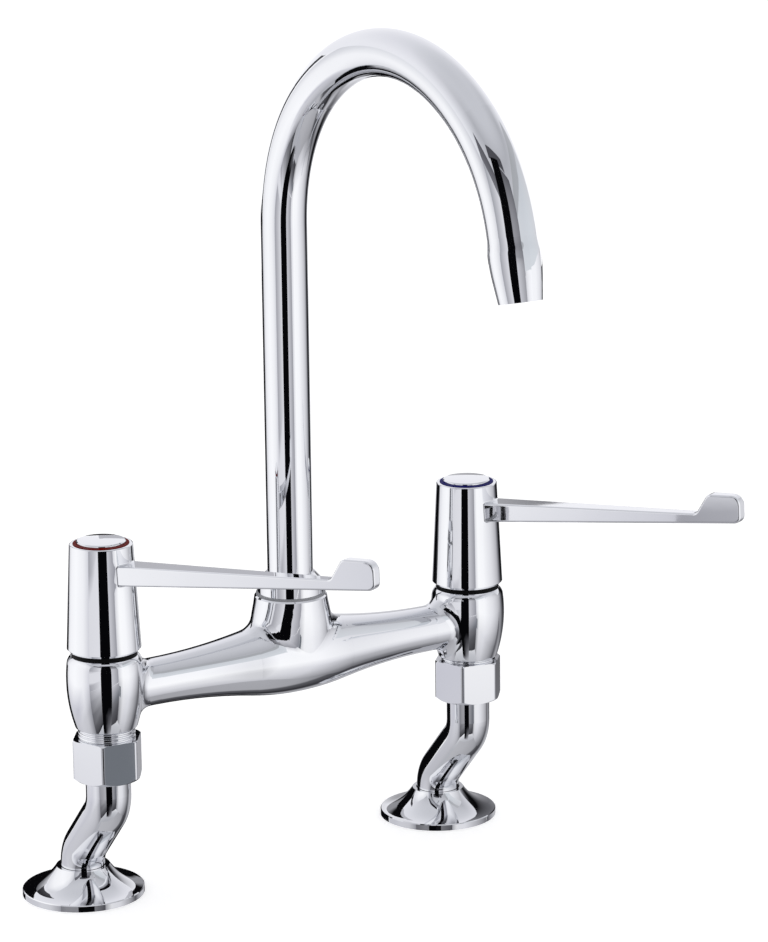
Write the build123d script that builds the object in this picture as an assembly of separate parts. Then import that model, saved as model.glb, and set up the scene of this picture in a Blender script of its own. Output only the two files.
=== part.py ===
from build123d import *
import os
from math import cos, hypot, pi, radians, sin, tan

# Two-lever bridge mixer for a kitchen sink, in millimetres.
# Origin: midway between the two feet, on the deck. +Z up, +X from hot to cold, -Y to the user.
# Every solid is built about its own axis at its real height, then moved sideways into place.

# Layout
valve_centres = 206.0         # hot valve axis to cold valve axis, the same as the feet
crank_offset = 28.0           # how far the valves stand in front of the feet
foot_clearance = 0.5          # foot above the deck, hidden in the flange
leg_height = 76.5             # top of the cold leg's collar above the deck
hot_union_drop = 3.3          # the hot union sits this much lower, on a longer tail
running_gap = 0.08            # radial clearance of a turning fit
seat_gap = 0.05               # radial clearance of a fixed fit
free_gap = 0.35               # clearance between covers that only pass each other

# Cranked legs
leg_diameter = 21.4
leg_bore = 14.0
leg_upper_bend_height = 51.2  # where the upper straight would meet the slope
leg_lower_bend_height = 21.4
leg_bend_radius = 16.5
collar_diameter = 25.9
collar_thickness = 3.5
foot_diameter = 25.0
foot_height = 8.5
foot_thread_diameter = 18.6   # G1/2 female thread, minor diameter
foot_thread_depth = 8.0

# Flanges
flange_diameter = 58.8
flange_edge = 3.2
flange_height = 14.2
flange_lip_diameter = 25.8
flange_waist_diameter = 38.6  # point of the hollow curve between lip and edge
flange_waist_height = 7.3
flange_wall = 1.6
flange_rim_width = 2.9
flange_seal_width = 2.2
flange_seal_thickness = 1.4

# Unions
nut_across_flats = 30.5
nut_height = 20.2
nut_lip = 4.0
nut_chamfer = 1.9             # lower corners
nut_top_chamfer = 1.0
nut_corner_radius = 2.0
hot_nut_turn = 54.0           # angle of a nut's corner from +X
cold_nut_turn = 47.0
union_thread_diameter = 26.4  # G3/4 male thread, major diameter
union_washer_thickness = 2.0
union_washer_bore = 15.0
tail_length = 12.5            # cold tail below the barrel
inlet_bore = 13.0

# Bridge body
barrel_height = 35.1
barrel_belly_diameter = 36.6
barrel_belly_height = 25.0    # above the barrel's bottom
barrel_shoulder_diameter = 35.6
barrel_shoulder_drop = 3.4
barrel_top_diameter = 31.6
barrel_bottom_diameter = 29.2
barrel_foot_radius = 0.6
arm_height = 17.5             # arm axis above the barrel's bottom
arm_end_diameter = 22.6
arm_belly_diameter = 36.4     # the bridge's girth under the spout
arm_shoulder = 26.0           # from the spout axis to where the belly's curve turns
arm_neck = 25.0               # from the valve axis to the arm's thinnest place
arm_fillet = 7.8                # where the arms flare into the barrels
boss_height = 30.8            # spout boss top above the arm axis
boss_diameter = 35.1
boss_chamfer = 0.7
boss_fillet = 9.5             # where the boss sinks into the bridge
cross_bore = 11.0
chamber_diameter = 20.6
seat_height = 7.0             # valve seat above the barrel's bottom

# Spout joint
socket_diameter = 26.0
socket_depth = 38.0
stub_foot_gap = 2.0
stub_bore = 17.0
stub_ring_heights = (14.0, 19.5)     # O-ring grooves above the stub's foot
stub_retaining_height = 26.2         # retaining groove above the stub's foot
stub_retaining_width = 3.4
stub_retaining_depth = 1.4
o_ring_section = 2.4
o_ring_squeeze = 0.84                # share of the section left between bore and groove
grub_diameter = 4.0
grub_tip_diameter = 2.6
glide_washer_thickness = 1.0
glide_washer_diameter = 33.6
ferrule_diameter = 32.0
ferrule_cylinder = 5.4
ferrule_height = 10.0

# Swan neck
tube_diameter = 22.0
tube_wall = 1.2
tube_engagement = 6.5         # how far the tube goes into the stub
spring_height = 179.8         # start of the bend above the ferrule's foot
bend_arcs = ((87.0, 50.0), (100.5, 80.0), (83.5, 37.8))    # radius and turn of each arc
nozzle_length = 28.3
nozzle_swell_diameter = 23.4
nozzle_swell = 7.4            # from the neck to the widest place
nozzle_mouth_diameter = 19.4
nozzle_taper = 0.12           # slope of the outlet's side at its mouth
straightener_thickness = 4.0
straightener_recess = 2.5
straightener_spoke = 1.2
straightener_core = 5.0

# Ceramic disc cartridges, heights from the valve seat
seat_seal_bore = 10.6
seat_seal_thickness = 2.6
disc_diameter = 17.0
disc_thickness = 2.8
disc_port_inner = 3.0         # ports are opposite quarters of a ring
disc_port_outer = 6.9
disc_port_angle = 78.0
cage_diameter = 19.0
cage_window_angle = 100.0
cage_window_height = 5.4
cartridge_thread_height = 13.4
bonnet_flange_diameter = 26.0
bonnet_flange_thickness = 1.5
bonnet_hex = 20.0
bonnet_hex_height = 5.2
bonnet_neck_diameter = 16.4
bonnet_neck_height = 10.0
bonnet_seal_section = 1.6
spindle_diameter = 10.0
spindle_foot_thickness = 2.5
spindle_ring_height = 21.0
spindle_ring_section = 1.6
spindle_clip_thickness = 0.8
spindle_clip_diameter = 13.6
spindle_clip_depth = 0.9
spline_diameter = 8.0
spline_depth = 0.45
spline_teeth = 20
spline_length = 16.5
spindle_tapping = 4.3
spindle_tapping_depth = 11.0

# Lever handles, heights from the head's lower edge
head_gap = 2.4                # dark gap between barrel and head
head_height = 51.6
head_bottom_diameter = 35.1
head_top_diameter = 29.9
head_bottom_chamfer = 1.2
head_rim_fillet = 0.7
head_wall = 1.65
head_cavity_height = 17.2
head_cavity_top_diameter = 25.0
spline_socket_height = 34.5
screw_recess_floor = 39.5
screw_recess_diameter = 16.0
index_seat_depth = 2.3
index_seat_diameter = 26.6
arm_low_edge = 34.1           # underside of the arm where it leaves the head
arm_depth = 9.4
arm_width = 13.5
arm_rise = 6.55               # degrees
arm_tip_depth = 4.9
arm_tip_width = 5.5
lever_reach = 152.9           # valve axis to the end of the paddle
paddle_length = 23.5
paddle_top_length = 17.6
paddle_height = 13.4
paddle_slope = 1.1            # rise of the paddle's top edge towards its end
paddle_corners = (3.0, 3.2, 5.0, 3.6)    # inside corner, then round to the underside
arm_edge_radius = 1.0
arm_root_fillet = 0.8
lever_turn = 24.6             # both levers at rest, from straight forward towards the cold side
open_angle_hot = 0.0          # hot valve shut at rest
open_angle_cold = 49.2        # cold valve part open at rest

# Handle trim
index_ring_width = 1.55
index_ring_stand = 0.25       # ring above the head's rim
index_cap_stand = 1.5         # cap edge above the head's rim
index_cap_dome = 0.45
index_cap_spigot = 3.4
screw_head_diameter = 9.0
screw_head_height = 3.0
screw_length = 10.0
screw_socket = 3.0
skirt_ring_width = 2.2
skirt_ring_lap = 1.1          # how far the ring reaches up inside the head

# Heights above the deck
barrel_bottom = leg_height + union_washer_thickness + tail_length
arm_axis = barrel_bottom + arm_height
seat = barrel_bottom + seat_height
barrel_top = barrel_bottom + barrel_height
boss_top = arm_axis + boss_height
socket_floor = boss_top - socket_depth
ferrule_foot = boss_top + glide_washer_thickness
head_bottom = barrel_top + head_gap
spring = ferrule_foot + spring_height
stub_foot = socket_floor + stub_foot_gap
arm_root = valve_centres / 2 - arm_neck
hot_x = -valve_centres / 2
cold_x = valve_centres / 2

# Vertical drawing plane: local x runs forward from an axis, local y runs up
forward_plane = Plane(origin=(0, 0, 0), x_dir=(0, -1, 0), z_dir=(-1, 0, 0))


def rod(diameter, low, high):
    """A round bar about Z."""
    return Pos(0, 0, low) * extrude(Circle(diameter / 2), high - low)


def ring(outer, inner, low, high):
    """A plain ring about Z, from its two diameters."""
    return Pos(0, 0, low) * extrude(Circle(outer / 2) - Circle(inner / 2), high - low)


def turned(*outline):
    """A turned solid about Z. The outline is drawn with radius as x and height as y."""
    return revolve(Plane.XZ * make_face(Curve() + list(outline)), Axis.Z)


def turned_corners(*corners):
    """A turned solid about Z from straight lines between (radius, height) corners."""
    return turned(Polyline(*corners, close=True))


def hexagon(across_flats, low, high, turn=0.0, corner_radius=0.0):
    """A hexagonal prism about Z with a corner at the angle turn."""
    flat = RegularPolygon(radius=across_flats / 2 / cos(pi / 6), side_count=6, rotation=turn)
    if corner_radius:
        flat = fillet(flat.vertices(), corner_radius)
    return Pos(0, 0, low) * extrude(flat, high - low)


def o_ring(bore_diameter, section, height):
    """A ring squeezed between bore and groove: round above and below, flat inside and out."""
    outer = bore_diameter - 2 * seat_gap
    inner = outer - 2 * section * o_ring_squeeze
    torus = Pos(0, 0, height) * Torus((outer + inner) / 4, section / 2)
    return torus & ring(outer, inner, height - section, height + section)


def o_ring_groove(bore_diameter, section, height):
    """The groove that carries such a ring, to be cut from a shaft in that bore."""
    floor = bore_diameter - 2 * section * o_ring_squeeze - 4 * seat_gap
    return ring(bore_diameter + 1, floor, height - section * 0.65, height + section * 0.65)


def at_valve(x, solid):
    """Move a solid from the origin's axis to a valve axis."""
    return Pos(x, -crank_offset, 0) * solid


# Bridge body

def barrel(x, tail):
    """One valve barrel with its threaded tail below, solid."""
    z = barrel_bottom
    shoulder = (barrel_shoulder_diameter / 2, z + barrel_height - barrel_shoulder_drop)
    belly = (barrel_belly_diameter / 2, z + barrel_belly_height)
    foot = (barrel_bottom_diameter / 2, z)
    top = (barrel_top_diameter / 2, z + barrel_height)
    side = ThreePointArc(foot, belly, shoulder)
    crown = TangentArc(shoulder, top, tangent=side % 1)
    closing = Polyline(top, (0, z + barrel_height), (0, z), foot)
    return at_valve(x, turned(side, crown, closing) + rod(union_thread_diameter, z - tail, z + 1))


def bridge():
    """The swelling bar between the barrels, turned about the arm axis from two tangent arcs."""
    root, belly = arm_end_diameter / 2, arm_belly_diameter / 2
    drop = belly - root
    turn_point = (arm_shoulder, belly - drop * arm_shoulder / arm_root)
    crown = TangentArc((0, belly), turn_point, tangent=(1, 0))
    hollow = TangentArc(turn_point, (arm_root, root), tangent=crown % 1)
    end = valve_centres / 2
    closing = Polyline((arm_root, root), (end, root), (end, 0), (0, 0), (0, belly))
    half = revolve(make_face(Curve() + [crown, hollow, closing]), Axis.X)
    return Pos(0, -crank_offset, arm_axis) * (half + mirror(half, Plane.YZ))


def boss():
    """The spout boss: round at the top and wider along the arms below."""
    r = boss_diameter / 2
    girth = arm_belly_diameter / 2
    # depth below the boss top as a share of its height, then half widths along and across the arms
    sections = ((0.0, r, r), (0.17, r * 1.06, r * 1.01), (0.36, r * 1.14, r * 1.02),
                (0.6, r * 1.2, girth * 0.985), (1.0, r * 1.26, girth * 0.975))
    faces = [Pos(0, 0, boss_top - share * boss_height) * Ellipse(along, across)
             for share, along, across in sections]
    return Pos(0, -crank_offset, 0) * loft(faces)


def body_passages():
    """Everything bored out of the bridge body: inlets, valve chambers, cross bore and spout socket."""
    cuts = []
    for x, tail in ((hot_x, tail_length + hot_union_drop), (cold_x, tail_length)):
        cuts.append(at_valve(x, rod(inlet_bore, barrel_bottom - tail - 1, seat + 1)))
        cuts.append(at_valve(x, rod(chamber_diameter, seat, barrel_top + 1)))
    cross = Rot(0, 90, 0) * Cylinder(cross_bore / 2, valve_centres)
    cuts.append(Pos(0, -crank_offset, arm_axis) * cross)
    cuts.append(Pos(0, -crank_offset, 0) * rod(socket_diameter, socket_floor, boss_top + 1))
    screw_hole = Rot(-90, 0, 0) * extrude(Circle(grub_diameter / 2), boss_diameter)
    cuts.append(Pos(0, -crank_offset, stub_foot + stub_retaining_height) * screw_hole)
    return cuts


def bridge_body():
    """The casting: bridge, boss and barrels blended into each other, then bored."""
    solid = bridge() + boss()
    blend = [e for e in solid.edges()
             if arm_axis + 1 < e.center().Z < boss_top - 1 and abs(e.center().X) < arm_root / 2]
    solid = fillet(blend, boss_fillet)
    solid += barrel(hot_x, tail_length + hot_union_drop) + barrel(cold_x, tail_length)
    junctions = [e for e in solid.edges()
                 if arm_root < abs(e.center().X) < valve_centres / 2 - 2
                 and abs(e.center().Z - arm_axis) < arm_end_diameter / 2
                 and e.length > arm_end_diameter / 2]
    solid = fillet(junctions, arm_fillet)
    feet = [e for e in solid.edges().filter_by(GeomType.CIRCLE)
            if abs(e.center().Z - barrel_bottom) < 0.001 and e.radius > union_thread_diameter / 2 + 0.5]
    solid = fillet(feet, barrel_foot_radius)
    rim = solid.edges().group_by(Axis.Z)[-1]
    solid = chamfer(rim, boss_chamfer)
    for cut in body_passages():
        solid -= cut
    return solid


# Unions, legs and flanges

def union_nut(collar_top, corner):
    """Hexagon nut whose lip carries the leg's collar."""
    low = collar_top - collar_thickness - nut_lip
    high = low + nut_height
    across_corners = nut_across_flats / cos(pi / 6)
    flat_radius = nut_across_flats / 2
    bevel = turned_corners((0, low), (flat_radius, low), (across_corners / 2, low + nut_chamfer),
                           (across_corners / 2, high - nut_top_chamfer),
                           (across_corners / 2 - nut_top_chamfer, high), (0, high))
    solid = hexagon(nut_across_flats, low, high, corner, nut_corner_radius) & bevel
    solid -= rod(union_thread_diameter + 2 * seat_gap, low + nut_lip, high + 1)
    return solid - rod(leg_diameter + 2 * free_gap, low - 1, low + nut_lip + 1)


def leg_path(collar_top, foot):
    """Centre line of a cranked leg: down, back towards the wall, and down again."""
    points = ((0, -crank_offset, collar_top), (0, -crank_offset, leg_upper_bend_height),
              (0, 0, leg_lower_bend_height), (0, 0, foot))
    return FilletPolyline(*points, radius=leg_bend_radius)


def cranked_leg(x, collar_top):
    """A leg with its collar, crank and threaded foot."""
    start = Plane(origin=(0, -crank_offset, collar_top), z_dir=(0, 0, -1))
    path = leg_path(collar_top, foot_clearance)
    solid = sweep(start * Circle(leg_diameter / 2), path=path)
    solid += Pos(0, -crank_offset, 0) * rod(collar_diameter, collar_top - collar_thickness, collar_top)
    solid += rod(foot_diameter, foot_clearance, foot_clearance + foot_height)
    solid -= sweep(start * Circle(leg_bore / 2), path=path)
    solid -= rod(foot_thread_diameter, foot_clearance - 1, foot_clearance + foot_thread_depth)
    return Pos(x, 0, 0) * solid


def flange_curve(inset):
    """The flange's hollow curve, moved inwards by a wall."""
    edge = (flange_diameter / 2 - 0.4 - inset, flange_edge - inset)
    waist = (flange_waist_diameter / 2 - inset, flange_waist_height - inset)
    lip = (flange_lip_diameter / 2 - inset, flange_height - inset)
    return edge, waist, lip


def flange(x):
    """A bell-shaped cover over the foot, open underneath."""
    edge, waist, lip = flange_curve(0)
    bore = leg_diameter / 2 + free_gap
    outline = turned(ThreePointArc(edge, waist, lip),
                     Polyline(lip, (0, flange_height), (0, 0), (flange_diameter / 2, 0),
                              (flange_diameter / 2, flange_edge - 0.4), edge))
    foot_room = foot_diameter / 2 + free_gap
    rim = flange_diameter / 2 - flange_rim_width
    inner_edge, inner_waist, _ = flange_curve(flange_wall)
    ceiling = foot_clearance + foot_height + free_gap
    hollow = turned_corners((0, -1), (rim, -1), (rim, flange_seal_thickness),
                            inner_waist, (foot_room, ceiling), (0, ceiling))
    return Pos(x, 0, 0) * (outline - hollow - rod(2 * bore, 0, flange_height + 1))


def flange_seal(x):
    outer = flange_diameter - 2 * flange_rim_width - 2 * seat_gap
    return Pos(x, 0, 0) * ring(outer, outer - 2 * flange_seal_width, 0, flange_seal_thickness - seat_gap)


# Ceramic disc cartridge, built about the origin's axis

def quarter_ports(inner, outer, angle, low, high, turn):
    """Two opposite ports between two radii, as a cutter."""
    cutter = None
    for side in (0, 180):
        middle = radians(turn + side)
        half = radians(angle / 2)
        corners = [(r * cos(a), r * sin(a)) for r, a in
                   ((inner, middle - half), (outer, middle - half), (outer, middle),
                    (outer, middle + half), (inner, middle + half), (inner, middle))]
        outline = [Line(corners[0], corners[1]), ThreePointArc(corners[1], corners[2], corners[3]),
                   Line(corners[3], corners[4]), ThreePointArc(corners[4], corners[5], corners[0])]
        port = Pos(0, 0, low) * extrude(make_face(Curve() + outline), high - low)
        cutter = port if cutter is None else cutter + port
    return cutter


disc_seat = seat + seat_seal_thickness
disc_joint = disc_seat + disc_thickness
disc_top = disc_joint + disc_thickness
bonnet_seat = barrel_top
hex_foot = bonnet_seat + bonnet_flange_thickness
hex_top = hex_foot + bonnet_hex_height
neck_top = hex_top + bonnet_neck_height


def seat_seal():
    return ring(disc_diameter, seat_seal_bore, seat, disc_seat)


def ceramic_disc(low, turn):
    solid = rod(disc_diameter, low, low + disc_thickness)
    return solid - quarter_ports(disc_port_inner, disc_port_outer, disc_port_angle, low - 1,
                                 low + disc_thickness + 1, turn)


def cartridge_body():
    """Brass bonnet: cage round the discs, thread, flange, hexagon and neck."""
    thread_foot = bonnet_seat - cartridge_thread_height
    cage_bore = disc_diameter + 2 * seat_gap
    solid = rod(cage_diameter, disc_seat, thread_foot + 1)
    solid += rod(chamber_diameter - 2 * seat_gap, thread_foot, bonnet_seat + 0.5)
    solid += rod(bonnet_flange_diameter, bonnet_seat, hex_foot)
    solid += hexagon(bonnet_hex, hex_foot, hex_top)
    solid += rod(bonnet_neck_diameter, hex_top, neck_top)
    solid -= rod(cage_bore, disc_seat - 1, disc_top + spindle_foot_thickness + running_gap)
    solid -= rod(spindle_diameter + 2 * running_gap, disc_seat, neck_top + 1)
    solid -= quarter_ports(disc_diameter / 2 - 1, chamber_diameter, cage_window_angle,
                           disc_top, disc_top + cage_window_height, 0)
    seal_bore = chamber_diameter - 2 * seat_gap
    groove = ring(seal_bore + 4, seal_bore - bonnet_seal_section, bonnet_seat - bonnet_seal_section - 0.4,
                  bonnet_seat)
    return solid - groove


def bonnet_seal():
    """Square-section ring under the bonnet flange."""
    outer = chamber_diameter - 2 * seat_gap
    return ring(outer, outer - bonnet_seal_section + 2 * seat_gap,
                bonnet_seat - bonnet_seal_section - 0.3, bonnet_seat - 0.1)


def spline_outline(diameter, depth):
    """Fine triangular teeth round a shaft end or its socket."""
    points = []
    for tooth in range(spline_teeth):
        angle = 2 * pi * tooth / spline_teeth
        step = pi / spline_teeth
        points.append((diameter / 2 * cos(angle), diameter / 2 * sin(angle)))
        root = diameter / 2 - depth
        points.append((root * cos(angle + step), root * sin(angle + step)))
    return make_face(Polyline(*points, close=True))


def clip_height():
    return neck_top + 0.2


def spindle(turn):
    """Turned spindle with its ported foot, seal groove, clip groove and splined end."""
    bore = spindle_diameter + 2 * running_gap
    foot_top = disc_top + spindle_foot_thickness
    spline_foot = clip_height() + spindle_clip_thickness + 0.5
    solid = rod(disc_diameter - 0.1, disc_top, foot_top)
    solid -= quarter_ports(spindle_diameter / 2 + 0.2, disc_diameter, disc_port_angle, disc_top - 1,
                           foot_top + 1, turn)
    solid += rod(spindle_diameter, disc_top, spline_foot)
    solid -= o_ring_groove(bore, spindle_ring_section, seat + spindle_ring_height)
    solid -= ring(spindle_diameter + 1, spindle_diameter - 2 * spindle_clip_depth,
                  clip_height() - 0.05, clip_height() + spindle_clip_thickness + 0.05)
    splines = extrude(spline_outline(spline_diameter, spline_depth), spline_length)
    solid += Pos(0, 0, spline_foot) * Rot(0, 0, lever_turn) * splines
    top = spline_foot + spline_length
    return solid - rod(spindle_tapping, top - spindle_tapping_depth, top + 1)


def spindle_clip():
    """Spring clip that holds the spindle up in the bonnet's neck."""
    inner = spindle_diameter - 2 * spindle_clip_depth + 2 * seat_gap
    low = clip_height()
    solid = ring(spindle_clip_diameter, inner, low, low + spindle_clip_thickness)
    mouth = Box(spindle_clip_diameter, inner * 0.72, 4, align=(Align.MIN, Align.CENTER, Align.CENTER))
    return solid - Pos(0, 0, low) * mouth


# Lever handle, built with its arm straight forward

def head_diameter(height):
    """The head's outside diameter at a height above its lower edge."""
    return head_bottom_diameter + (head_top_diameter - head_bottom_diameter) * height / head_height


def lever_arm():
    """Tapering arm with its upturned paddle: the side view cut to the view from above."""
    root = head_diameter(arm_low_edge) / 2
    start = root * 0.6
    rise = tan(radians(arm_rise))

    def low_edge(s):
        return arm_low_edge + (s - root) * rise

    inside = lever_reach - paddle_length
    top_rise = (low_edge(inside) + arm_tip_depth - low_edge(root) - arm_depth) / (inside - root)
    paddle_top = low_edge(lever_reach) + paddle_height
    corners = ((start, low_edge(root) + arm_depth + (start - root) * top_rise),
               (inside, low_edge(inside) + arm_tip_depth),
               (lever_reach - paddle_top_length, paddle_top - paddle_slope),
               (lever_reach - 0.6, paddle_top),
               (lever_reach, low_edge(lever_reach)),
               (start, low_edge(start)))
    edge = FilletPolyline(*corners, radius=list(paddle_corners))
    side_view = make_face(Curve() + [edge, Line(corners[-1], corners[0])])
    taper = (arm_width - arm_tip_width) / (lever_reach - root)
    start_width = arm_width + taper * (root - start)
    plan = Polyline((start_width / 2, -start), (arm_tip_width / 2, -lever_reach),
                    (-arm_tip_width / 2, -lever_reach), (-start_width / 2, -start), close=True)
    slab = extrude(forward_plane * side_view, arm_width, both=True)
    solid = slab & extrude(make_face(plan), head_height * 3)
    edges = [e for e in solid.edges() if e.center().Y < -start - 1 and e.length > 1.5
             and abs(abs(e.center().X) - (arm_width / 2 - taper * (-e.center().Y - root) / 2)) < 0.5]
    return fillet(edges, arm_edge_radius)


def head_shell():
    """Tapered head, solid."""
    bottom, top = head_bottom_diameter / 2, head_top_diameter / 2
    c = head_bottom_chamfer
    solid = turned_corners((0, 0), (bottom - c, 0), (head_diameter(c) / 2, c), (top, head_height),
                           (0, head_height))
    rim = solid.edges().filter_by(GeomType.CIRCLE).sort_by(Axis.Z)[-1]
    return fillet(rim, head_rim_fillet)


def lever_handle():
    """Head and lever cast in one, hollow underneath, with a splined socket and a recess on top."""
    solid = head_shell() + lever_arm()
    root = [e for e in solid.edges()
            if e.center().Y < 0 and abs(e.center().X) < arm_width / 2 + 0.5
            and arm_low_edge - 1 < e.center().Z < arm_low_edge + arm_depth + 1
            and abs(hypot(e.center().X, e.center().Y) - head_diameter(e.center().Z) / 2) < 0.8]
    solid = fillet(root, arm_root_fillet)
    skirt = head_bottom_diameter - 2 * head_wall
    solid -= turned_corners((0, -1), (skirt / 2, -1), (skirt / 2, skirt_ring_lap + 1),
                            (head_cavity_top_diameter / 2, head_cavity_height), (0, head_cavity_height))
    socket = spline_outline(spline_diameter + 4 * seat_gap, spline_depth)
    socket_foot = head_cavity_height - 1
    solid -= Pos(0, 0, socket_foot) * extrude(socket, spline_socket_height - socket_foot)
    solid -= rod(spindle_tapping + 1.2, spline_socket_height - 1, head_height)
    solid -= rod(screw_recess_diameter, screw_recess_floor, head_height + 1)
    solid -= rod(index_seat_diameter, head_height - index_seat_depth, head_height + 1)
    return Pos(0, 0, head_bottom) * solid


def index_ring():
    """Coloured ring let into the top of the head."""
    outer = index_seat_diameter - 2 * seat_gap
    rim = head_bottom + head_height
    return ring(outer, outer - 2 * index_ring_width, rim - index_seat_depth, rim + index_ring_stand)


def index_cap():
    """Plated cap, slightly domed, pressed into the recess inside the coloured ring."""
    radius = index_seat_diameter / 2 - 2 * seat_gap - index_ring_width
    rim = head_bottom + head_height
    low, edge = rim - index_seat_depth, rim + index_cap_stand
    spigot = screw_recess_diameter / 2 - seat_gap
    soften = 0.5
    dome = TangentArc((0, edge + index_cap_dome), (radius - soften, edge), tangent=(1, 0))
    rest = Polyline((radius - soften, edge), (radius, edge - soften), (radius, low), (spigot, low),
                    (spigot, low - index_cap_spigot), (spigot - 1.2, low - index_cap_spigot),
                    (spigot - 1.2, low), (0, low), (0, edge + index_cap_dome))
    return turned(dome, rest)


def handle_screw():
    low = head_bottom + screw_recess_floor
    solid = rod(screw_head_diameter, low, low + screw_head_height)
    solid += rod(spindle_tapping - 2 * seat_gap, low - screw_length, low + 0.5)
    solid = fillet(solid.edges().group_by(Axis.Z)[-1], 0.8)
    return solid - hexagon(screw_socket, low + screw_head_height - 2, low + screw_head_height + 1)


def skirt_ring():
    """Black ring on the barrel's top that centres the head and closes the gap under it."""
    outer = head_bottom_diameter - 2 * head_wall - 2 * free_gap
    return ring(outer, outer - 2 * skirt_ring_width, barrel_top, head_bottom + skirt_ring_lap)


# Swan neck and its joint, built about the origin's axis

def neck_path(low):
    """Centre line of the tube: up, over and down, in the forward plane."""
    riser = Line((0, low), (0, spring))
    pieces = [riser]
    for radius, turn in bend_arcs:
        last = pieces[-1]
        pieces.append(JernArc(start=last @ 1, tangent=last % 1, radius=radius, arc_size=-turn))
    return forward_plane * Wire(pieces)


def nozzle(end, direction):
    """Formed outlet: the tube swells a little, then narrows to its mouth."""
    neck, swell, mouth = tube_diameter / 2, nozzle_swell_diameter / 2, nozzle_mouth_diameter / 2
    outer = Spline((neck, 0), (swell, nozzle_swell), (mouth, nozzle_length),
                   tangents=((0, 1), (0, 1), (-nozzle_taper, 1)))
    bore = tube_diameter / 2 - tube_wall
    mouth_bore = mouth - tube_wall
    closing = Polyline((mouth, nozzle_length), (mouth_bore, nozzle_length), (bore, nozzle_swell), (bore, 0),
                       (neck, 0))
    place = Plane(origin=end, z_dir=direction)
    return place * turned(outer, closing)


def spout_tube(path, foot):
    outer = sweep(Plane(origin=(0, 0, foot)) * Circle(tube_diameter / 2), path=path)
    inner = sweep(Plane(origin=(0, 0, foot)) * Circle(tube_diameter / 2 - tube_wall), path=path)
    return outer - inner + nozzle(path @ 1, path % 1)


def flow_straightener(path):
    """Star of thin walls just inside the mouth."""
    depth = nozzle_length - straightener_recess - straightener_thickness
    share = (nozzle_length - straightener_recess - nozzle_swell) / (nozzle_length - nozzle_swell)
    bore = tube_diameter / 2 - tube_wall
    narrow = bore + (nozzle_mouth_diameter / 2 - bore - tube_wall) * share
    radius = narrow - 2 * seat_gap
    solid = ring(2 * radius, 2 * radius - 1.6, depth, depth + straightener_thickness)
    solid += rod(straightener_core, depth, depth + straightener_thickness)
    for turn in (0, 60, 120):
        spoke = Box(2 * radius - 1, straightener_spoke, straightener_thickness,
                    align=(Align.CENTER, Align.CENTER, Align.MIN))
        solid += Pos(0, 0, depth) * Rot(0, 0, turn) * spoke
    return Plane(origin=path @ 1, z_dir=path % 1) * solid


def spout_ferrule():
    """Sleeve with a sloping shoulder round the tube's foot."""
    outer, inner = ferrule_diameter / 2, tube_diameter / 2 + seat_gap
    low = ferrule_foot
    corners = ((inner, low), (outer, low), (outer, low + ferrule_cylinder),
               (inner + 0.8, low + ferrule_height), (inner, low + ferrule_height))
    solid = turned_corners(*corners)
    shoulder = solid.edges().filter_by(GeomType.CIRCLE).sort_by(lambda e: e.radius)[-2:]
    return fillet(shoulder.sort_by(Axis.Z)[-1], 1.0)


def spout_stub():
    """Turned end that runs in the boss: two seal grooves and a retaining groove."""
    outer = socket_diameter - 2 * running_gap
    top = ferrule_foot
    tube_foot = top - tube_engagement
    solid = rod(outer, stub_foot, top - seat_gap) - rod(stub_bore, stub_foot - 1, top + 1)
    solid -= rod(tube_diameter + 2 * seat_gap, tube_foot, top + 1)
    for height in stub_ring_heights:
        solid -= o_ring_groove(socket_diameter, o_ring_section, stub_foot + height)
    groove = stub_foot + stub_retaining_height
    solid -= ring(outer + 1, outer - 2 * stub_retaining_depth, groove - stub_retaining_width / 2,
                  groove + stub_retaining_width / 2)
    return solid


def grub_screw():
    """Pointed screw through the back of the boss, its tip in the stub's groove."""
    tip = socket_diameter / 2 - running_gap - stub_retaining_depth + free_gap
    wall = socket_diameter / 2 + 0.3
    end = boss_diameter / 2 - 0.4
    solid = rod(grub_tip_diameter, tip, wall) + rod(grub_diameter - 2 * seat_gap, wall, end)
    solid -= hexagon(2.0, end - 2.2, end + 1)
    return Pos(0, -crank_offset, stub_foot + stub_retaining_height) * Rot(-90, 0, 0) * solid


def glide_washer():
    return ring(glide_washer_diameter, socket_diameter, boss_top, ferrule_foot)


# All the nodes

def valve_nodes(name, x, open_angle):
    """Cartridge, lever and trim of one side, by node name."""
    ported = 90.0 - open_angle
    parts = {
        "seat_seal": seat_seal(),
        "fixed_disc": ceramic_disc(disc_seat, 0.0),
        "moving_disc": ceramic_disc(disc_joint, ported),
        "cartridge_body": cartridge_body(),
        "bonnet_seal": bonnet_seal(),
        "spindle": spindle(ported),
        "spindle_o_ring": o_ring(spindle_diameter + 2 * running_gap, spindle_ring_section,
                                 seat + spindle_ring_height),
        "spindle_clip": spindle_clip(),
        "skirt_ring": skirt_ring(),
        "lever_handle": Rot(0, 0, lever_turn) * lever_handle(),
        "handle_screw": handle_screw(),
        "index_ring": index_ring(),
        "index_cap": index_cap(),
    }
    return {f"{name}_{part}": at_valve(x, solid) for part, solid in parts.items()}


def leg_nodes(name, x, drop, corner):
    """Union nut, washer, leg, flange and seal of one side, by node name."""
    collar_top = leg_height - drop
    washer = ring(collar_diameter, union_washer_bore, collar_top, collar_top + union_washer_thickness)
    return {
        f"{name}_union_nut": at_valve(x, union_nut(collar_top, corner)),
        f"{name}_union_washer": at_valve(x, washer),
        f"{name}_cranked_leg": cranked_leg(x, collar_top),
        f"{name}_flange": flange(x),
        f"{name}_flange_seal": flange_seal(x),
    }


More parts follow.
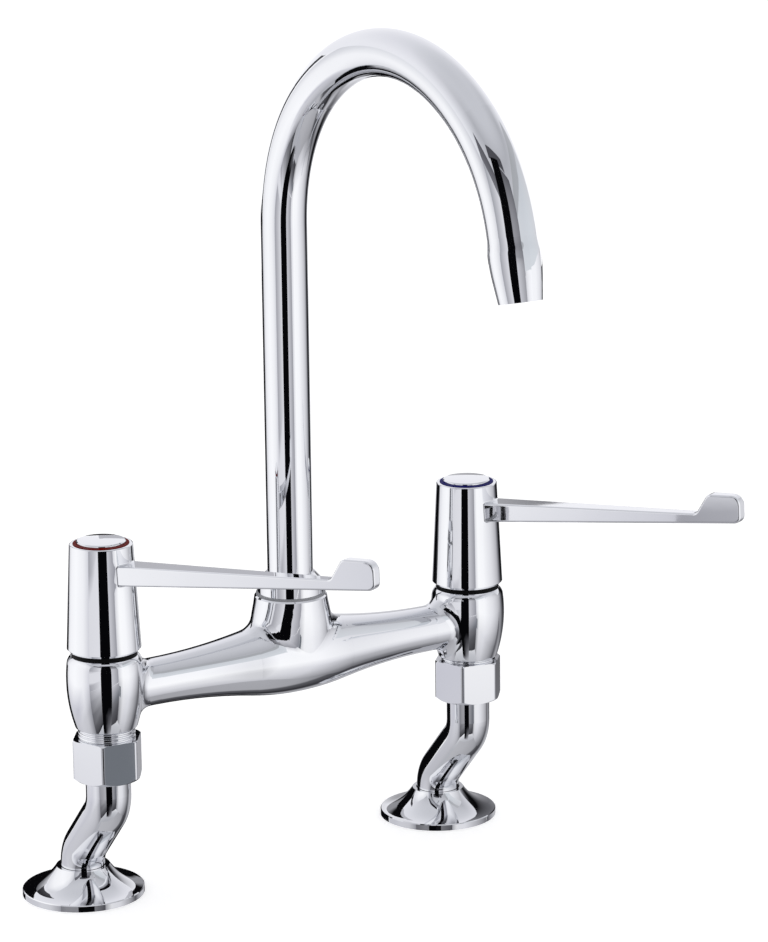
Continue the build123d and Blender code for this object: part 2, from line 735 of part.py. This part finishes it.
def spout_nodes():
    foot = ferrule_foot - tube_engagement
    path = neck_path(foot)
    parts = {
        "spout_tube": spout_tube(path, foot),
        "flow_straightener": flow_straightener(path),
        "spout_ferrule": spout_ferrule(),
        "spout_stub": spout_stub(),
        "spout_lower_o_ring": o_ring(socket_diameter, o_ring_section, stub_foot + stub_ring_heights[0]),
        "spout_upper_o_ring": o_ring(socket_diameter, o_ring_section, stub_foot + stub_ring_heights[1]),
        "spout_glide_washer": glide_washer(),
    }
    return {node: Pos(0, -crank_offset, 0) * solid for node, solid in parts.items()}


def main():
    nodes = {"bridge_body": bridge_body(), "spout_grub_screw": grub_screw()}
    nodes.update(valve_nodes("hot", hot_x, open_angle_hot))
    nodes.update(valve_nodes("cold", cold_x, open_angle_cold))
    nodes.update(leg_nodes("hot", hot_x, hot_union_drop, hot_nut_turn))
    nodes.update(leg_nodes("cold", cold_x, 0.0, cold_nut_turn))
    nodes.update(spout_nodes())
    os.makedirs("parts", exist_ok=True)
    for node, solid in nodes.items():
        export_step(solid, f"parts/{node}.step")


main()
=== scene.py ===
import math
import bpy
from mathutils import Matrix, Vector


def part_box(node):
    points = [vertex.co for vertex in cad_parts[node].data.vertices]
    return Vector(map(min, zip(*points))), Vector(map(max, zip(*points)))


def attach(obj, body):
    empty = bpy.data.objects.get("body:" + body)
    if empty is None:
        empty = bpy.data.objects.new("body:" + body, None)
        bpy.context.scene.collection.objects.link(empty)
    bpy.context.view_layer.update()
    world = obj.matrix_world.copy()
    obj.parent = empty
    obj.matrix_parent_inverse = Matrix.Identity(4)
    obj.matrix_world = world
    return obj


bl_info = {
    "name": "Kitchen bridge mixer",
    "version": (1, 0, 0),
    "blender": (4, 5, 0),
    "location": "View3D > Sidebar > Bridge mixer",
    "description": "Finishes a two-lever bridge mixer for a kitchen sink and sets it in a studio",
    "category": "Object",
}

import bpy
from bpy.props import FloatProperty, FloatVectorProperty, IntProperty, PointerProperty
from mathutils import Matrix, Vector

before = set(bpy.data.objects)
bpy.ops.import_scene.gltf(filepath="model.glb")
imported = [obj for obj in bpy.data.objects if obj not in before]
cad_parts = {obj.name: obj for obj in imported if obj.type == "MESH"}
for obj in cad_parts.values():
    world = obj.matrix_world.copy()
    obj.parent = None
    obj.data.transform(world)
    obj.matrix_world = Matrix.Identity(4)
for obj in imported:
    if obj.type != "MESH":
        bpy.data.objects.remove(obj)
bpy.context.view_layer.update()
MM = 0.001
UP = Vector((0, 0, 1))
SIDES = ("hot", "cold")

# Foot of the spout's axis, round which the camera and the studio are placed
SPOUT_AXIS = Vector((0, -28 * MM, 0))
# Width of the camera's sensor in millimetres
SENSOR = 36
# The photograph's height and the focal length that the camera fit gave, both in pixels
PHOTO_HEIGHT = 942
FOCAL_LENGTH = 3774.82
# Nearly all of a noise texture's values lie between these two
NOISE_RANGE = (0.3, 0.7)


def linear(hex_colour):
    """An sRGB hex colour as linear red, green and blue."""
    parts = [int(hex_colour[i:i + 2], 16) / 255 for i in (1, 3, 5)]
    return [c / 12.92 if c <= 0.04045 else ((c + 0.055) / 1.055) ** 2.4 for c in parts]


def node(tree, kind, settings=None, links=None):
    """Adds a node, sets its sockets or attributes, and links its inputs."""
    made = tree.nodes.new(kind)
    for key, value in (settings or {}).items():
        if isinstance(key, int) or key in made.inputs:
            made.inputs[key].default_value = value
        else:
            setattr(made, key, value)
    for key, source in (links or {}).items():
        tree.links.new(source, made.inputs[key])
    return made


def colour(name, hex_colour, text):
    """A colour property with its default as sRGB hex."""
    return FloatVectorProperty(name=name, description=text, subtype="COLOR", size=3, min=0, max=1,
                               default=linear(hex_colour))


def length(name, millimetres, text):
    """A length property with its default in millimetres."""
    return FloatProperty(name=name, description=text, subtype="DISTANCE", unit="LENGTH", precision=5,
                         default=millimetres * MM)


def angle(name, degrees, text):
    """An angle property with its default in degrees."""
    return FloatProperty(name=name, description=text, subtype="ANGLE", default=math.radians(degrees))


class MixerPlate(bpy.types.PropertyGroup):
    chrome: colour("Chrome", "#eaebee", "What polished chrome plate throws back of white light")
    roughness: FloatProperty(name="Roughness", description="Haze that the buffing wheel leaves",
                             default=0.03, min=0, max=1)
    ripple_length: length("Ripple length", 26.0, "Distance between the waves that hand polishing leaves")
    cast_ripple: length("Cast ripple", 0.022, "Height of those waves on the castings")
    drawn_ripple: length("Drawn ripple", 0.004, "Height of those waves on tube and turned pieces")


class MixerTrim(bpy.types.PropertyGroup):
    hot_ring: colour("Hot ring", "#6e0d06", "Index ring on the hot side")
    cold_ring: colour("Cold ring", "#0c0a68", "Index ring on the cold side")
    # Near-black tone of the skirt rings: painted shade, standing in for the shadowed gap between each lever
    # head and its barrel
    gap_shade_black: colour("Black plastic", "#08080a", "Rings under the lever heads")
    grey: colour("Grey plastic", "#8d8f94", "Glide washer under the spout")


class MixerInside(bpy.types.PropertyGroup):
    brass: colour("Brass", "#c9a45c", "Cartridges, spindles and spout stub")
    steel: colour("Stainless steel", "#a9abae", "Screws and clips")
    alumina: colour("Alumina", "#efeee9", "Ceramic discs")
    rubber: colour("Rubber", "#17171a", "Seals and O-rings")
    fibre: colour("Fibre", "#7e3a2a", "Union washers")
    acetal: colour("Acetal", "#e4e4df", "Flow straightener")


class MixerThread(bpy.types.PropertyGroup):
    shoulder: length("Shoulder", 91.0, "Height of the valve barrels' undersides, where the threads end")
    pitch: length("Pitch", 1.814, "Distance between two turns, 14 to the inch")
    crest: length("Crest", 27.3, "Diameter over the crests")
    ridge: length("Ridge", 0.62, "Radius of a turn's rounded ridge")
    steps: IntProperty(name="Steps", description="Segments in one turn", default=72, min=12, max=200)
    sides: IntProperty(name="Sides", description="Sides of the ridge's section", default=10, min=3, max=32)


class MixerStudio(bpy.types.PropertyGroup):
    azimuth: angle("Azimuth", -32.8702, "Camera's place round the tap, from straight in front")
    elevation: angle("Elevation", 13.6424, "Camera's height as an angle")
    roll: angle("Roll", -0.70468, "Camera's turn about its own axis")
    distance: length("Distance", 1809.77, "From the camera to the point that it looks at")
    aim_height: length("Aim height", 195.2, "Height on the spout's axis that the aim is measured from")
    aim_right: length("Aim right", 45.742, "From there to that point, to the right in the picture")
    aim_up: length("Aim up", 4.5613, "From there to that point, upwards in the picture")
    lens: FloatProperty(name="Lens", description="Focal length in millimetres on the camera's sensor",
                        default=FOCAL_LENGTH * SENSOR / PHOTO_HEIGHT)
    floor: colour("Floor", "#f2f2f3", "Paper that the tap stands on")
    floor_width: length("Floor width", 12000, "Edge of the square of paper")
    floor_glow: FloatProperty(name="Floor glow", default=0.35, min=0,
                              description="Light of its own that the paper shows the camera")
    light: FloatProperty(name="Soft light", description="Level of the white tent round the tap", default=0.85,
                         min=0)


def shader(name, **sockets):
    """A material with one Principled BSDF, its sockets set by name."""
    material = bpy.data.materials.new(name)
    material.use_nodes = True
    bsdf = material.node_tree.nodes["Principled BSDF"]
    for key, value in sockets.items():
        bsdf.inputs[key.replace("_", " ")].default_value = value
    return material, material.node_tree, bsdf


def grained(name, light, dark, grain, height, **sockets):
    """A material whose colour and surface follow one noise, with its grain in metres along X, Y and Z."""
    material, tree, bsdf = shader(name, **sockets)
    place = node(tree, "ShaderNodeTexCoord")
    shrink = node(tree, "ShaderNodeMapping", {"Scale": [1 / g for g in grain]},
                  {"Vector": place.outputs["Object"]})
    noise = node(tree, "ShaderNodeTexNoise", {"Scale": 1.0, "Detail": 3.0}, {"Vector": shrink.outputs[0]})
    tone = node(tree, "ShaderNodeValToRGB", links={0: noise.outputs["Fac"]})
    for stop, position, rgb in zip(tone.color_ramp.elements, NOISE_RANGE, (dark, light)):
        stop.position, stop.color = position, [*rgb, 1]
    bump = node(tree, "ShaderNodeBump", {"Strength": 1.0, "Distance": height},
                {"Height": noise.outputs["Fac"]})
    tree.links.new(tone.outputs[0], bsdf.inputs["Base Color"])
    tree.links.new(bump.outputs[0], bsdf.inputs["Normal"])
    return material


def shade(rgb, share):
    """A darker tone of a linear colour."""
    return [c * share for c in rgb]


def plate(name, ripple_height, **sockets):
    """Bright chrome plate: a mirror with the long waves that polishing leaves."""
    p = bpy.context.scene.mixer_plate
    grain = [p.ripple_length] * 3
    return grained(name, p.chrome, shade(p.chrome, 0.985), grain, ripple_height, Metallic=1.0,
                   Roughness=p.roughness, **sockets)


def even(millimetres):
    """A grain of one size along all three axes."""
    return [millimetres * MM] * 3


def dress(material, *names):
    """Gives CAD nodes a material."""
    for name in names:
        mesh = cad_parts[name].data
        mesh.materials.clear()
        mesh.materials.append(material)


def both(*parts):
    """The names that pieces have on the hot and on the cold side."""
    return [f"{side}_{part}" for side in SIDES for part in parts]


class MIXER_OT_metal(bpy.types.Operator):
    """Finish the chromed pieces"""
    bl_idname = "mixer.metal"
    bl_label = "Chromed pieces"

    def execute(self, context):
        p = context.scene.mixer_plate
        # Chrome on sand-cast brass, linished and buffed by hand: a mirror whose edges wander a little
        cast = plate("chrome_on_cast_brass", p.cast_ripple)
        # Chrome on drawn or turned brass: straight, sharp mirror images along the piece
        drawn = plate("chrome_on_drawn_brass", p.drawn_ripple)
        # Chrome on moulded ABS: the same mirror on a surface without tool marks
        cap = plate("chrome_on_abs", 0.0)
        dress(cast, "bridge_body", *both("lever_handle"))
        dress(drawn, "spout_tube", "spout_ferrule", *both("cranked_leg", "union_nut", "flange"))
        dress(cap, *both("index_cap"))
        return {"FINISHED"}


class MIXER_OT_trim(bpy.types.Operator):
    """Finish the coloured and plastic rings"""
    bl_idname = "mixer.trim"
    bl_label = "Rings"

    def execute(self, context):
        t = context.scene.mixer_trim
        for side, rgb in zip(SIDES, (t.hot_ring, t.cold_ring)):
            # Moulded acrylic, dyed through: a deep colour with a soft shine
            ring = grained(f"{side}_index_acrylic", rgb, shade(rgb, 0.8), even(6), 0.002 * MM, Roughness=0.45,
                           Specular_IOR_Level=0.03)
            dress(ring, f"{side}_index_ring")
        # Glass-filled nylon, moulded, with a faint grain that kills the shine. Its near-black tone is painted
        # shade: it stands in for the shadowed gap under each lever head
        gap_shade_black = grained("black_nylon", t.gap_shade_black, shade(t.gap_shade_black, 0.6), even(1.2), 0.006 * MM, Roughness=0.55,
                        Specular_IOR_Level=0.1)
        dress(gap_shade_black, *both("skirt_ring"))
        # Unfilled nylon, turned: mid grey and waxy
        grey = grained("grey_nylon", t.grey, shade(t.grey, 0.85), even(2), 0.003 * MM, Roughness=0.4)
        dress(grey, "spout_glide_washer")
        return {"FINISHED"}


class MIXER_OT_inside(bpy.types.Operator):
    """Finish the pieces inside the tap"""
    bl_idname = "mixer.inside"
    bl_label = "Inner pieces"

    def execute(self, context):
        i = context.scene.mixer_inside
        # The tool's marks run round the axis and lie close together along it
        lathe = [30 * MM, 30 * MM, 0.35 * MM]
        # Turned brass: warm yellow with fine rings
        brass = grained("turned_brass", i.brass, shade(i.brass, 0.82), lathe, 0.008 * MM,
                        Metallic=1.0, Roughness=0.28)
        dress(brass, "spout_stub", *both("cartridge_body", "spindle"))
        # Turned stainless steel: grey and a little duller than the plate
        steel = grained("turned_stainless_steel", i.steel, shade(i.steel, 0.85), lathe, 0.005 * MM,
                        Metallic=1.0, Roughness=0.3)
        dress(steel, "spout_grub_screw", *both("handle_screw", "spindle_clip"))
        # Lapped alumina: dense white ceramic, almost polished on its faces
        alumina = grained("lapped_alumina", i.alumina, shade(i.alumina, 0.94), even(0.8), 0.001 * MM,
                          Roughness=0.18, Specular_IOR_Level=0.7)
        dress(alumina, *both("fixed_disc", "moving_disc"))
        # Moulded EPDM: black and matt, with a grey bloom
        rubber = grained("epdm_rubber", i.rubber, shade(i.rubber, 0.6), even(1.5), 0.01 * MM, Roughness=0.65,
                         Specular_IOR_Level=0.3)
        dress(rubber, "spout_lower_o_ring", "spout_upper_o_ring",
              *both("bonnet_seal", "seat_seal", "spindle_o_ring", "flange_seal"))
        # Vulcanised fibre: pressed paper, mottled brick red
        fibre = grained("vulcanised_fibre", i.fibre, shade(i.fibre, 0.65), even(1.0), 0.02 * MM, Roughness=0.8)
        dress(fibre, *both("union_washer"))
        # Moulded acetal: smooth, milky white
        acetal = grained("white_acetal", i.acetal, shade(i.acetal, 0.93), even(2.5), 0.002 * MM,
                         Roughness=0.35)
        dress(acetal, "flow_straightener")
        return {"FINISHED"}


def helix_tree():
    """Geometry nodes for one thread: a helix of rounded ridges round the Z axis."""
    tree = bpy.data.node_groups.new("union_thread", "GeometryNodeTree")
    face = tree.interface
    face.new_socket("Geometry", in_out="OUTPUT", socket_type="NodeSocketGeometry")
    for name, kind in (("Radius", "Float"), ("Pitch", "Float"), ("Turns", "Float"), ("Ridge", "Float"),
                       ("Steps", "Int"), ("Sides", "Int"), ("Foot", "Vector"), ("Finish", "Material")):
        face.new_socket(name, in_out="INPUT", socket_type=f"NodeSocket{kind}")
    given = node(tree, "NodeGroupInput").outputs
    rise = node(tree, "ShaderNodeMath", {"operation": "MULTIPLY"}, {0: given["Pitch"], 1: given["Turns"]})
    spiral = node(tree, "GeometryNodeCurveSpiral",
                  links={"Resolution": given["Steps"], "Rotations": given["Turns"], "Height": rise.outputs[0],
                         "Start Radius": given["Radius"], "End Radius": given["Radius"]})
    upright = node(tree, "GeometryNodeSetCurveNormal", {"mode": "Z_UP"}, {"Curve": spiral.outputs[0]})
    ridge = node(tree, "GeometryNodeCurvePrimitiveCircle",
                 links={"Resolution": given["Sides"], "Radius": given["Ridge"]})
    sweep = node(tree, "GeometryNodeCurveToMesh", {"Fill Caps": True},
                 {"Curve": upright.outputs[0], "Profile Curve": ridge.outputs[0]})
    lift = node(tree, "GeometryNodeTransform",
                links={"Geometry": sweep.outputs[0], "Translation": given["Foot"]})
    real = node(tree, "GeometryNodeRealizeInstances", links={0: lift.outputs[0]})
    paint = node(tree, "GeometryNodeSetMaterial",
                 links={"Geometry": real.outputs[0], "Material": given["Finish"]})
    node(tree, "NodeGroupOutput", links={0: paint.outputs[0]})
    return tree


def grown(name, tree, **values):
    """An object whose mesh a node tree makes from nothing, with its inputs set by name."""
    seed = bpy.data.objects.new("seed", bpy.data.meshes.new("seed"))
    bpy.context.scene.collection.objects.link(seed)
    modifier = seed.modifiers.new("tree", "NODES")
    modifier.node_group = tree
    for item in tree.interface.items_tree:
        if item.in_out == "INPUT":
            modifier[item.identifier] = values[item.name]
    mesh = bpy.data.meshes.new_from_object(seed.evaluated_get(bpy.context.evaluated_depsgraph_get()))
    bpy.data.objects.remove(seed)
    mesh.name = name
    mesh.shade_smooth()
    piece = bpy.data.objects.new(name, mesh)
    bpy.context.scene.collection.objects.link(piece)
    return piece


class MIXER_OT_threads(bpy.types.Operator):
    """Cut the threads that show above the union nuts"""
    bl_idname = "mixer.threads"
    bl_label = "Threads"

    def execute(self, context):
        t = context.scene.mixer_thread
        tree = helix_tree()
        finish = bpy.data.materials["chrome_on_drawn_brass"]
        for side in SIDES:
            low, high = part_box(f"{side}_union_nut")
            # The first turn starts inside the nut
            foot = Vector(((low[0] + high[0]) / 2, (low[1] + high[1]) / 2, high[2] - t.pitch))
            turns = (t.shoulder - t.ridge - foot.z) / t.pitch
            thread = grown(f"{side}_union_thread", tree, Radius=t.crest / 2 - t.ridge, Pitch=t.pitch,
                           Turns=turns, Ridge=t.ridge, Steps=t.steps, Sides=t.sides, Foot=foot, Finish=finish)
            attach(thread, "mixer_body")
        return {"FINISHED"}


def across(azimuth):
    """Unit vectors to the viewer's right and towards the viewer, level, for a camera at that azimuth."""
    right = Vector((math.cos(azimuth), math.sin(azimuth), 0))
    return right, right.cross(UP)


def place_camera(scene):
    """The camera that took the photograph, from its place round the tap, its aim and its lens."""
    s = scene.mixer_studio
    right, towards = across(s.azimuth)
    back = math.cos(s.elevation) * towards + math.sin(s.elevation) * UP
    up = back.cross(right)
    turn = Matrix.Rotation(s.roll, 3, back)
    right, up = turn @ right, turn @ up
    aim = SPOUT_AXIS + s.aim_height * UP + s.aim_right * right + s.aim_up * up
    place = aim + s.distance * back
    data = bpy.data.cameras.new("photo_camera")
    data.lens, data.sensor_width = s.lens, SENSOR
    data.clip_start, data.clip_end = 0.05, 50
    camera = bpy.data.objects.new("photo_camera", data)
    camera.matrix_world = Matrix.Translation(place) @ Matrix((right, up, back)).transposed().to_4x4()
    scene.collection.objects.link(camera)
    scene.camera = camera


def stage_mesh(name, corners, faces, material):
    """A piece of the stage from its corners."""
    mesh = bpy.data.meshes.new(name)
    mesh.from_pydata(corners, [], faces)
    mesh.materials.append(material)
    obj = bpy.data.objects.new(name, mesh)
    bpy.context.scene.collection.objects.link(obj)
    return obj


def mirror_strength():
    """Strength at which a tone comes back from the chrome as it is written."""
    return 1 / bpy.context.scene.mixer_plate.chrome[1]


def card_light():
    """Glow of the studio cards, with each card's tones as the chrome is to show them."""
    material = bpy.data.materials.new("studio_card")
    material.use_nodes = True
    tree = material.node_tree
    tree.nodes.clear()
    tone = node(tree, "ShaderNodeAttribute", {"attribute_name": "tone"})
    light = node(tree, "ShaderNodeEmission", {"Strength": mirror_strength()}, {"Color": tone.outputs["Color"]})
    node(tree, "ShaderNodeOutputMaterial", links={"Surface": light.outputs[0]})
    return material


def blend(tones, count):
    """Linear colours at evenly spaced points, blended from a few evenly spaced tones."""
    stops = [Vector(linear(tone)) for tone in tones]
    last = len(stops) - 1
    colours = []
    for i in range(count):
        place = last * i / (count - 1)
        low = int(place)
        colours.append(stops[low].lerp(stops[min(low + 1, last)], place - low))
    return colours


def card(name, place, left, right, rows, material):
    """A card that only mirror images show, with rows of tones from its left to its right edge."""
    rows = {height: tones.split() for height, tones in rows.items()}
    count = max(2, *(len(tones) for tones in rows.values()))
    corners, glow = [], []
    for height, tones in rows.items():
        corners += [place(Vector(left).lerp(Vector(right), i / (count - 1)), height) for i in range(count)]
        glow += blend(tones, count)
    faces = [(i, i + 1, i + 1 + count, i + count) for i in range(len(corners) - count) if (i + 1) % count]
    obj = stage_mesh(name, corners, faces, material)
    attribute = obj.data.color_attributes.new("tone", "FLOAT_COLOR", "POINT")
    for point, tone in zip(attribute.data, glow):
        point.color = [*tone, 1]
    obj.visible_camera = obj.visible_diffuse = obj.visible_shadow = obj.visible_transmission = False


# Tones of the tent at angles over the horizon in degrees, on the camera's side and behind the tap
TENT_FRONT = ((-60, "#abacb1"), (-46, "#c0c1c5"), (-34, "#f0f0f2"), (0, "#fcfcfc"), (22, "#d2d4d8"),
              (34, "#bfc0c5"), (48, "#aeafb4"), (70, "#c3c4c9"))
TENT_BACK = ((-60, "#abacb1"), (-26, "#a2a6ab"), (-14, "#ffffff"), (2, "#fcfcfd"), (11, "#e9e9ed"),
             (22, "#e8e8ec"), (40, "#dedee3"), (62, "#cfd0d5"), (80, "#c3c4c9"))


def elevation_ramp(tree, height, stops):
    """A colour for each height of the direction, from stops of an angle in degrees and a tone."""
    ramp = node(tree, "ShaderNodeValToRGB", links={0: height})
    elements = ramp.color_ramp.elements
    while len(elements) < len(stops):
        elements.new(0.5)
    for stop, (degrees, tone) in zip(elements, stops):
        stop.position = (math.sin(math.radians(degrees)) + 1) / 2
        stop.color = [*linear(tone), 1]
    return ramp.outputs[0]


def tent(scene):
    """White world for the eye and for diffuse light, and a tent of white and grey for mirror images."""
    world = bpy.data.worlds.new("white_tent")
    world.use_nodes = True
    scene.world = world
    tree = world.node_tree
    tree.nodes.clear()
    white = (1, 1, 1, 1)
    right, towards = across(scene.mixer_studio.azimuth)
    # Where the tent's back half lies, and how far towards it the front half ends and the back is full
    back_wall = -0.85 * towards - 0.5 * right
    front_ends, back_full = -0.1, 0.6
    direction = node(tree, "ShaderNodeTexCoord").outputs["Generated"]
    height = node(tree, "ShaderNodeSeparateXYZ", links={0: direction}).outputs["Z"]
    share = node(tree, "ShaderNodeMapRange", {"From Min": -1.0, "From Max": 1.0}, {"Value": height}).outputs[0]
    front = elevation_ramp(tree, share, TENT_FRONT)
    back = elevation_ramp(tree, share, TENT_BACK)
    behind = node(tree, "ShaderNodeVectorMath", {"operation": "DOT_PRODUCT", 1: back_wall}, {0: direction})
    turn = node(tree, "ShaderNodeMapRange", {"From Min": front_ends, "From Max": back_full},
                {"Value": behind.outputs["Value"]})
    both_halves = node(tree, "ShaderNodeMix", {"data_type": "RGBA"},
                       {0: turn.outputs[0], 6: front, 7: back}).outputs[2]
    path = node(tree, "ShaderNodeLightPath")
    seen = node(tree, "ShaderNodeBackground", {"Color": white, "Strength": 1.0})
    mirrored = node(tree, "ShaderNodeBackground", {"Strength": mirror_strength()}, {"Color": both_halves})
    soft = node(tree, "ShaderNodeBackground", {"Color": white, "Strength": scene.mixer_studio.light})
    unseen = node(tree, "ShaderNodeMixShader", links={0: path.outputs["Is Glossy Ray"], 1: soft.outputs[0],
                                                      2: mirrored.outputs[0]})
    surface = node(tree, "ShaderNodeMixShader", links={0: path.outputs["Is Camera Ray"], 1: unseen.outputs[0],
                                                       2: seen.outputs[0]})
    node(tree, "ShaderNodeOutputWorld", links={"Surface": surface.outputs[0]})


def paper(scene):
    """Floor of white paper, which keeps the tap's shadow."""
    s = scene.mixer_studio
    material, tree, bsdf = shader("white_paper", Base_Color=[*s.floor, 1], Roughness=0.9)
    path = node(tree, "ShaderNodeLightPath")
    glow = node(tree, "ShaderNodeEmission", {"Color": (1, 1, 1, 1), "Strength": s.floor_glow})
    add = node(tree, "ShaderNodeAddShader", links={0: bsdf.outputs[0], 1: glow.outputs[0]})
    mix = node(tree, "ShaderNodeMixShader", links={0: path.outputs["Is Camera Ray"], 1: bsdf.outputs[0],
                                                   2: add.outputs[0]})
    tree.links.new(mix.outputs[0], tree.nodes["Material Output"].inputs["Surface"])
    half = s.floor_width / 2
    corners = [(-half, -half, 0), (half, -half, 0), (half, half, 0), (-half, half, 0)]
    sheet = stage_mesh("floor", corners, [(0, 1, 2, 3)], material)
    sheet.visible_glossy = False


# A black flag between two white walls that darken towards it
FLAG = "#e2e2e6 #b8b8bc #606064 #08080a #0c0c0e #5a5a5e #84848a #a4a4a8 #b4b4b8 #bebec2"
# Cards round the tap, as it stands in front of the camera. Each has its left and right edge, in
# millimetres to the camera's right of the spout's axis and towards the camera, and rows of the
# tones that the chrome is to show, at heights in millimetres above the deck. A row's tones are
# spaced evenly from edge to edge and blend into each other, as the rows do.
CARDS = {
    "dark_gap": ((-165, 620), (125, 556), {-700: "#8a8a8f #8a8a8f #a8a8ac #aaaaae",
                                           -600: "#060608 #060608 #808084 #a8a8ac",
                                           -450: "#060608 #060608 #58585c #78787c",
                                           -300: "#060608 #060608 #38383c #505054",
                                           -200: "#060608", 830: "#060608"}),
    "dark_gap_top": ((-250, 640), (300, 600), {830: "#4b4b50", 980: "#4b4b50"}),
    "left_grey": ((-370, 370), (-165, 620), {-20: "#9a9aa0 #dcdce0", 12: "#a0a0a6 #dcdce0",
                                             30: "#dadade #dedee2", 80: "#dadade #dedee2",
                                             98: "#a0a0a6 #dcdce0", 560: "#a0a2a8 #dcdce0",
                                             561: "#6a6a70 #77777c", 700: "#5a5a5f #5a5a5f"}),
    "left_foot": ((-400, 330), (-165, 620), {-450: "#303034 #2a2a2e", -310: "#58585c #606064",
                                             -190: "#606065 #8a8a8e", -90: "#7c7c82 #b8b8bc",
                                             -20: "#9a9aa0 #dcdce0"}),
    "right_grey": ((125, 556), (375, 540), {-20: "#c8c8cd #93939a", 350: "#c8c8cd #97979c",
                                            400: "#9a9a9f #85858a", 760: "#55555a #55555a"}),
    "right_foot": ((125, 556), (450, 515), {-450: "#48484c #303034", -310: "#58585c #404044",
                                            -190: "#77777b #505055", -90: "#a8a8ad #6c7078",
                                            -20: "#c8c8cd #93939a"}),
    "left_white": ((-430, -300), (-370, 370), {-450: "#a8a8ad #b4b4b9 #b4b4b9 #68686c",
                                               -120: "#c8c8cd #c2c2c8 #d4d4d8 #9a9aa0",
                                               -60: "#d0d0d6 #d0d0d6 #c5c5cd #dcdce0 #b8b8be",
                                               30: "#dcdce0 #fafafb #fafafb #d0d0d6",
                                               350: "#dcdce0 #fafafb #f8f8f9 #d8d8dc",
                                               530: "#cfd0d4 #e0e1e5 #e0e1e5 #b8b8be"}),
    "right_white": ((375, 540), (430, -200), {-450: "#707074 #c4c4c8 #b8b8bc #909094 #606064",
                                              -110: "#a0a0a5 #e4e4e6 #dcdce0 #b0b0b4 #707074",
                                              30: "#d2d2d6 #fbfbfb #f8f8f9 #e2e2e5 #b8b8bc",
                                              340: "#d2d2d6 #f8f8fa #f4f4f6 #dcdce0 #b8b8bc"}),
    "right_blue": ((375, 540), (430, -200), {340: "#d4d7db #d4d8dc #cfd0d4", 530: "#cdd0d4 #c5c9ce #c4c5c9",
                                             531: "#a9abaf #a9abaf #b4b5b9", 640: "#a5a7aa #a5a7aa #b0b1b5"}),
    "hot_nut_flag": ((371, 504), (376, 444), {-140: "#6c7076", -45: "#6c7076"}),
    "back_dark": ((-300, -320), (-60, -320), {-450: "#08080a", 235: "#08080a"}),
    "back_middle": ((-60, -320), (-6, -320), {-450: "#08080a", 25: "#08080a", 60: "#8c8c90", 120: "#8c8c90",
                                              160: "#08080a", 235: "#08080a"}),
    "back_strip": ((-118, -320), (8, -320), {236: "#b0b0b5", 275: "#b4b4ba"}),
    "back_left": ((-430, -321), (-300, -321), {-450: "#101012 #08080a", 10: "#101012 #08080a",
                                               60: "#c8c8cc #606064", 235: "#c8c8cc #606064"}),
    "left_post": ((-400, -322), (-300, -322), {235: "#404044 #202022", 490: "#505054 #303034"}),
    "back_right": ((-6, -320), (700, -320), {-450: "#0a0a0c #303034 #505054 #505054",
                                             -330: "#2a2a2c #505054 #58585c #505054",
                                             -250: "#8a8a8e #a8a8ac #9c9ca0 #606064 #606064",
                                             -100: "#9c9ca0 #c0c0c4 #a0a0a4 #646468 #707074",
                                             -20: "#9c9ca0 #8e8e92 #505054 #646468 #909094 #a8a8ac #b8b8bc",
                                             60: FLAG, 224: FLAG}),
    "far_dark": ((-1400, -1500), (38, -1500), {-500: "#08080a", 60: "#08080a"}),
    "far_right": ((38, -1500), (3280, -1500), {-500: FLAG, 60: FLAG}),
}
# The card that lies level under the tap, at this height, with its rows from back to front
LOW_CARD_HEIGHT = -450
LOW_CARDS = {
    "under": ((-300, 0), (700, 0), {-320: "#303034 #38383c #505054", -150: "#58585c #58585c #505054",
                                    -90: "#b4b4b8 #a0a0a4 #58585c", 300: "#b4b4b8 #acacb0 #a0a0a4"}),
}


class MIXER_OT_stage(bpy.types.Operator):
    """Camera, tent, cards and floor"""
    bl_idname = "mixer.stage"
    bl_label = "Stage"

    def execute(self, context):
        scene = context.scene
        scene.view_settings.view_transform = "Standard"
        place_camera(scene)
        tent(scene)
        right, towards = across(scene.mixer_studio.azimuth)
        light = card_light()

        def upright(place, height):
            return SPOUT_AXIS + place[0] * MM * right + place[1] * MM * towards + height * MM * UP

        def level(place, depth):
            return upright((place[0], depth), LOW_CARD_HEIGHT)

        for cards, place in ((CARDS, upright), (LOW_CARDS, level)):
            for name, (left_edge, right_edge, rows) in cards.items():
                card(name, place, left_edge, right_edge, rows, light)
        paper(scene)
        return {"FINISHED"}


groups = {"mixer_plate": MixerPlate, "mixer_trim": MixerTrim, "mixer_inside": MixerInside,
          "mixer_thread": MixerThread, "mixer_studio": MixerStudio}
steps = (MIXER_OT_metal, MIXER_OT_trim, MIXER_OT_inside, MIXER_OT_threads, MIXER_OT_stage)


class MIXER_PT_panel(bpy.types.Panel):
    bl_idname = "MIXER_PT_panel"
    bl_label = "Bridge mixer"
    bl_space_type = "VIEW_3D"
    bl_region_type = "UI"
    bl_category = "Bridge mixer"

    def draw(self, context):
        for step in steps:
            self.layout.operator(step.bl_idname)
        for name, group in groups.items():
            box = self.layout.box()
            for prop in group.__annotations__:
                box.prop(getattr(context.scene, name), prop)


def register():
    for c in (*groups.values(), *steps, MIXER_PT_panel):
        bpy.utils.register_class(c)
    for name, group in groups.items():
        setattr(bpy.types.Scene, name, PointerProperty(type=group))


def unregister():
    for name in groups:
        delattr(bpy.types.Scene, name)
    for c in reversed((*groups.values(), *steps, MIXER_PT_panel)):
        bpy.utils.unregister_class(c)


def main():
    register()
    bpy.ops.mixer.metal()
    bpy.ops.mixer.trim()
    bpy.ops.mixer.inside()
    bpy.ops.mixer.threads()
    bpy.ops.mixer.stage()


if __name__ == "__main__":
    main()
